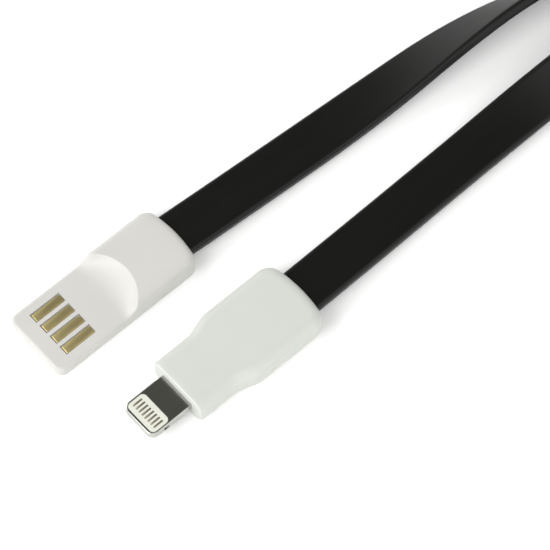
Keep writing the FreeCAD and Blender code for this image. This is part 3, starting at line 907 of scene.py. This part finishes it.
# ---------------------------------------------------------------- flat cable
@dataclass
class FlatCable:
    """The flat cable: a lead from each plug, and the rest wound on its edge into a hank."""

    finishes: Finishes
    width: float = 8.0
    thick: float = 1.8
    corner: float = 0.62
    edge_cut: float = 0.25  # the section's faces are cut this far in from its rounded edges
    length: float = 934.0
    stub: float = 3.0
    lift: float = 0.6
    lane_pitch: float = 3.0
    left_x: float = 114.0
    right_x: float = 158.0
    middle_y: float = 23.5
    outer_lane: float = 33.0
    inner_lane: float = 24.0
    bend_steps: int = 12
    cross_steps: int = 7
    charger_twist_x: float = 34.0
    phone_twist_x: float = 50.0
    twist_end_x: float = 112.0
    wound_share: Span = (0.13, 0.87)  # the stretch that stands on its edge in the hank
    samples_per_span: int = 8

    charger_route: tuple[tuple[float, float, float], ...] = (
        (10.2, 10.2, 2.05),
        (24.0, 9.5, 1.5),
        (46.0, 8.2, 1.3),
        (68.0, 6.9, 3.5),
        (84.0, 3.6, 4.2),
        (98.0, -3.4, 4.5),
        (114.0, -6.5, 4.6),
    )
    phone_route: tuple[tuple[float, float, float], ...] = (
        (17.8, -9.7, 2.4),
        (30.0, -9.3, 1.6),
        (50.0, -8.8, 1.1),
        (70.0, -9.1, 2.7),
        (86.0, -9.6, 4.1),
        (99.0, -9.7, 4.4),
        (114.0, -9.5, 4.6),
    )

    def build(self) -> None:
        """Make the cable along its route and say what it is."""
        line = self.centreline()
        cable = self.ribbon(line)
        self.finishes.dress(cable, JACKET)
        settle(cable, "black_jacket", "cable_lead_charger", "cable_lead_phone", "cable_hank")
        strap = HankStrap(self.finishes).build()

    def bend(
        self, centre: Span, radius: float, start: float, turn: float, steps: int,
    ) -> list[Vector]:
        """Control points of one arc of a lane, laid just outside it so that the spline follows it.

        Args:
            centre: The arc's centre, in millimetres.
            radius: The arc's radius, in millimetres.
            start: The direction from the centre to its start, in degrees.
            turn: How far it turns, in degrees, anticlockwise positive.
            steps: How many control points it has.

        Returns:
            The control points, in millimetres.
        """
        step = math.radians(turn) / steps
        reach = radius / math.cos(step / 2)
        angles = [math.radians(start) + (k + 0.5) * step for k in range(steps)]
        z = self.lift + self.width / 2
        x, y = centre
        return [Vector((x + reach * math.cos(a), y + reach * math.sin(a), z)) for a in angles]

    def run(self, y: float, start: Span, end: Span) -> list[Vector]:
        """Control points of one straight lane, set in from the arcs at its ends.

        Args:
            y: The lane's place, in millimetres.
            start: Where it starts, and the radius of the arc there, in millimetres.
            end: Where it ends, and the radius of the arc there.

        Returns:
            Its two control points, in millimetres.
        """
        inset = math.tan(math.pi / 2 / self.bend_steps)
        way = 1 if end[0] > start[0] else -1
        z = self.lift + self.width / 2
        return [
            Vector((start[0] + way * start[1] * inset, y, z)),
            Vector((end[0] - way * end[1] * inset, y, z)),
        ]

    def hank(self) -> list[Vector]:
        """Control points of the wound part, from the charger plug's lane to the phone plug's lane."""
        pitch, y = self.lane_pitch, self.middle_y
        lanes = [self.outer_lane - pitch * k for k in range(3)]
        radii = [lane - pitch / 2 for lane in lanes]
        left, right = (self.left_x, y + pitch / 2), (self.right_x, y - pitch / 2)
        steps = self.bend_steps
        points = self.run(y - lanes[1], (left[0], radii[1]), (right[0], radii[1]))
        points += self.bend(right, radii[1], -90, 180, steps)
        points += self.run(y + lanes[2], (right[0], radii[1]), (left[0], radii[2]))
        points += self.bend(left, radii[2], 90, 180, steps)
        points += self.crossing()
        points += self.bend(right, radii[2], 90, -180, steps)
        points += self.run(y - lanes[2], (right[0], radii[2]), (left[0], radii[1]))
        points += self.bend(left, radii[1], -90, -180, steps)
        points += self.run(y + lanes[1], (left[0], radii[1]), (right[0], radii[0]))
        points += self.bend(right, radii[0], 90, -180, steps)
        points += self.run(y - lanes[0], (right[0], radii[0]), (left[0], radii[0]))
        return points

    def crossing(self) -> list[Vector]:
        """Control points of the two equal arcs that cross the hank's middle."""
        across, rise = self.right_x - self.left_x, 2 * self.inner_lane
        radius = (across**2 + rise**2) / (4 * rise)
        turn = math.degrees(2 * math.atan2(rise, across))
        first = (self.left_x, self.middle_y - self.inner_lane + radius)
        second = (self.right_x, self.middle_y + self.inner_lane - radius)
        points = self.bend(first, radius, -90, turn, self.cross_steps)
        return points + self.bend(second, radius, turn + 90, -turn, self.cross_steps)

    def centreline(self) -> list[Vector]:
        """The cable's smooth line, read from one spline through its whole route, in metres."""
        route = [Vector(p) for p in self.charger_route] + self.hank()
        route += [Vector(p) for p in reversed(self.phone_route)]
        curve = bpy.data.curves.new("cable_route", "CURVE")
        curve.dimensions = "3D"
        curve.resolution_u = self.samples_per_span
        spline = curve.splines.new("NURBS")
        spline.points.add(len(route) - 1)
        for point, place in zip(spline.points, route):
            point.co = (*(place * MM), 1)
        spline.order_u = 3
        spline.use_endpoint_u = True
        carrier = bpy.data.objects.new("cable_route", curve)
        mesh = bpy.data.meshes.new_from_object(carrier)
        line = [v.co.copy() for v in mesh.vertices]
        bpy.data.meshes.remove(mesh)
        bpy.data.objects.remove(carrier)
        bpy.data.curves.remove(curve)
        log.info("cable line: %.1f mm", sum((b - a).length for a, b in zip(line, line[1:])) / MM)
        return line

    def twist(self, place: Vector, share: float) -> float:
        """How far the cable has turned from its wide face onto its edge, in radians.

        Args:
            place: A point of the cable's line, in metres.
            share: How far along the cable it is, from 0 to 1.

        Returns:
            The turn about the line.
        """
        start = self.charger_twist_x if share < 0.5 else self.phone_twist_x
        wound = self.wound_share[0] < share < self.wound_share[1]
        turned = 1.0 if wound else min(1.0, max(0.0, (place.x / MM - start) / (self.twist_end_x - start)))
        return -math.pi / 2 * turned * turned * (3 - 2 * turned)

    def station(self, place: Vector, along: Vector, turn: float) -> Matrix:
        """The frame of the cable's section at a point: x across its width, y through it, z along it."""
        side = Vector((-along.y, along.x, 0)).normalized()
        up = along.cross(side)
        wide = side * math.cos(turn) + up * math.sin(turn)
        thin = up * math.cos(turn) - side * math.sin(turn)
        return Matrix.Translation(place) @ Matrix((wide, thin, along)).transposed().to_4x4()

    def stations(self, line: list[Vector]) -> list[Matrix]:
        """The section's frame at every point of the line, with a short stub inside each plug."""
        count = len(line)
        frames = []
        for i, place in enumerate(line):
            along = (line[min(i + 1, count - 1)] - line[max(i - 1, 0)]).normalized()
            if i in (0, count - 1):
                along = Vector((1 if i == 0 else -1, 0, 0))
            frames.append(self.station(place, along, self.twist(place, i / (count - 1))))
        inside = Matrix.Translation((0, 0, -self.stub * MM))
        outside = Matrix.Translation((0, 0, self.stub * MM))
        return [frames[0] @ inside, *frames, frames[-1] @ outside]

    def section(self, bm: bmesh.types.BMesh) -> list[bmesh.types.BMEdge]:
        """Add the cable's section, a flat strip with rounded edges, as a ring of edges.

        Args:
            bm: The mesh that takes it.

        Returns:
            The ring's edges.
        """
        made = bmesh.ops.create_grid(
            bm, x_segments=1, y_segments=1, size=0.5,
            matrix=Matrix.Diagonal((self.width * MM, self.thick * MM, 1, 1)),
        )
        bmesh.ops.bevel(
            bm, geom=made["verts"], offset=self.corner * MM, offset_type="OFFSET", segments=6, profile=0.5,
            affect="VERTICES", clamp_overlap=False, material=-1,
        )
        reach = self.width / 2 - self.corner - self.edge_cut
        cut_across(bm, 0, (-reach, 0.0, reach))
        bmesh.ops.dissolve_faces(bm, faces=bm.faces[:])
        bmesh.ops.delete(bm, geom=bm.faces[:], context="FACES_ONLY")
        return bm.edges[:]

    def ribbon(self, line: list[Vector]) -> bpy.types.Object:
        """The cable as one closed strip that follows its line, with a map along and around it.

        Args:
            line: The cable's line, in metres.

        Returns:
            The cable.
        """
        bm = bmesh.new()
        frames = self.stations(line)
        ring = self.section(bm)
        along = bm.verts.layers.float.new("along")
        around = bm.verts.layers.float.new("around")
        for v in bm.verts:
            v[around] = v.co.x
        bmesh.ops.transform(bm, matrix=frames[0], verts=bm.verts)
        first = ring
        distance = 0.0
        for before, after in zip(frames, frames[1:]):
            distance += (after.translation - before.translation).length
            grown = bmesh.ops.extrude_edge_only(bm, edges=ring)["geom"]
            verts = [g for g in grown if isinstance(g, bmesh.types.BMVert)]
            bmesh.ops.transform(bm, matrix=after @ before.inverted(), verts=verts)
            for v in verts:
                v[along] = distance
            ring = [g for g in grown if isinstance(g, bmesh.types.BMEdge)]
        for end in (first, ring):
            bmesh.ops.contextual_create(bm, geom=end)
        chart = bm.loops.layers.uv.new("strip")
        for face in bm.faces:
            for loop in face.loops:
                loop[chart].uv = (loop.vert[along], loop.vert[around])
        return to_object("flat_cable", bm, Vector((0, 0, 0)), sharp=PLIANT)


@dataclass
class HankStrap:
    """The soft strap that holds three lanes of the hank together."""

    finishes: Finishes
    thick: float = 0.6
    corner: float = 1.0
    rim: float = 0.15

    def build(self) -> bpy.types.Object:
        """Make the strap in its CAD node's box, on the table.

        Returns:
            The strap.
        """
        low, high = (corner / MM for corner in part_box("cable_tie"))
        bm = bmesh.new()
        new_block(bm, low, high)
        lengthwise = edges_where(bm, lambda a, b: abs(a.x - b.x) > TOUCH)
        round_edges(bm, lengthwise, self.corner, segments=6)
        ends = [f for f in bm.faces if round(abs(f.normal.x)) == 1]
        bmesh.ops.inset_region(bm, faces=ends, thickness=self.thick * MM, use_even_offset=True)
        rims = [list(f.edges) for f in ends]
        bmesh.ops.delete(bm, geom=ends, context="FACES_ONLY")
        bmesh.ops.bridge_loops(bm, edges=rims[0] + rims[1])
        bmesh.ops.recalc_face_normals(bm, faces=bm.faces)
        sides = edges_where(bm, lambda a, b: abs(a.x - b.x) < TOUCH)
        round_edges(bm, sides, self.rim, segments=3)
        strap = to_object("hank_strap", bm, Vector((0, 0, 0)), sharp=PLIANT)
        self.finishes.dress(strap, STRAP)
        settle(strap, "black_strap", "cable_tie")
        return strap


# ---------------------------------------------------------------- studio
@dataclass(frozen=True)
class Softbox:
    """A square lamp: where it hangs and its side, in metres, and its power in watts."""

    name: str
    place: tuple[float, float, float]
    size: float
    power: float


SOFTBOXES = (
    Softbox("key_softbox", (-0.75, 0.05, 0.62), 0.55, 4.3),
    Softbox("fill_softbox", (-0.25, 0.80, 0.60), 0.60, 4.1),
    Softbox("edge_softbox", (-0.10, -0.55, 0.80), 0.40, 0.20),
)


@dataclass
class Studio:
    """The pale floor, the soft light and the camera. Lengths are metres, angles degrees."""

    target: Vector = field(default_factory=lambda: Vector((17.6, -4.0, 0.0)) * MM)
    camera_from: Vector = field(default_factory=lambda: Vector((-118.6, -156.3, 401.0)) * MM)
    field_of_view: float = 10.55
    nearest: float = 0.01
    floor_size: float = 6.0
    floor_gap: float = 0.00002  # how far the floor lies below the table's height
    dome_strength: float = 1.42
    flag_colour: tuple[float, float, float, float] = (0.080, 0.080, 0.074, 1)
    flag_inner: float = 24  # the flag is full within this angle of its middle
    flag_outer: float = 52  # and has faded out at this one

    def build(self) -> None:
        """Make the whole studio."""
        self.camera()
        self.floor()
        self.sky()
        for softbox in SOFTBOXES:
            self.hang(softbox)
        bpy.context.scene.view_settings.view_transform = "Standard"

    def camera(self) -> None:
        """Look down at the plugs from their tips' side."""
        data = bpy.data.cameras.new("camera")
        data.angle = math.radians(self.field_of_view)
        data.clip_start = self.nearest
        camera = bpy.data.objects.new("camera", data)
        bpy.context.scene.collection.objects.link(camera)
        camera.location = self.camera_from
        camera.rotation_euler = (self.target - self.camera_from).to_track_quat("-Z", "Y").to_euler()
        bpy.context.scene.camera = camera

    def floor(self) -> None:
        """A wide white table top."""
        bm = bmesh.new()
        bmesh.ops.create_grid(bm, x_segments=4, y_segments=4, size=self.floor_size / 2)
        floor = to_object("floor", bm, Vector((0, 0, -self.floor_gap)))
        Finishes().dress(floor, FLOOR_WHITE)

    def sky(self) -> None:
        """A white dome with one dark flag, which keeps level faces from mirroring the dome."""
        world = bpy.data.worlds.new("studio_dome")
        bpy.context.scene.world = world
        world.use_nodes = True
        nodes, links = world.node_tree.nodes, world.node_tree.links
        source = nodes.new("ShaderNodeTexCoord")
        toward = nodes.new("ShaderNodeVectorMath")
        toward.operation = "DOT_PRODUCT"
        back = (self.camera_from - self.target).normalized()
        toward.inputs[1].default_value = (-back.x, -back.y, back.z)
        links.new(source.outputs["Generated"], toward.inputs[0])
        ramp = nodes.new("ShaderNodeValToRGB")
        ramp.color_ramp.interpolation = "EASE"
        ramp.color_ramp.elements[0].position = math.cos(math.radians(self.flag_outer))
        ramp.color_ramp.elements[0].color = (1, 1, 1, 1)
        ramp.color_ramp.elements[1].position = math.cos(math.radians(self.flag_inner))
        ramp.color_ramp.elements[1].color = self.flag_colour
        links.new(toward.outputs["Value"], ramp.inputs["Fac"])
        links.new(ramp.outputs["Color"], nodes["Background"].inputs["Color"])
        nodes["Background"].inputs["Strength"].default_value = self.dome_strength

    def hang(self, softbox: Softbox) -> None:
        """Hang a square lamp that faces the plugs.

        Args:
            softbox: The lamp to make.
        """
        data = bpy.data.lights.new(softbox.name, "AREA")
        data.size = softbox.size
        data.energy = softbox.power
        lamp = bpy.data.objects.new(softbox.name, data)
        bpy.context.scene.collection.objects.link(lamp)
        lamp.location = softbox.place
        lamp.rotation_euler = (self.target - Vector(softbox.place)).to_track_quat("-Z", "Y").to_euler()


def main() -> None:
    """Build the studio, the cable and both plugs, in that order."""
    logging.basicConfig(level=logging.INFO, format="%(message)s")
    finishes = Finishes()
    Studio().build()
    FlatCable(finishes).build()
    ChargerPlug(finishes).build()
    PhonePlug(finishes).build()
    finishes.dress_inner_nodes()


if __name__ == "__main__":
    main()
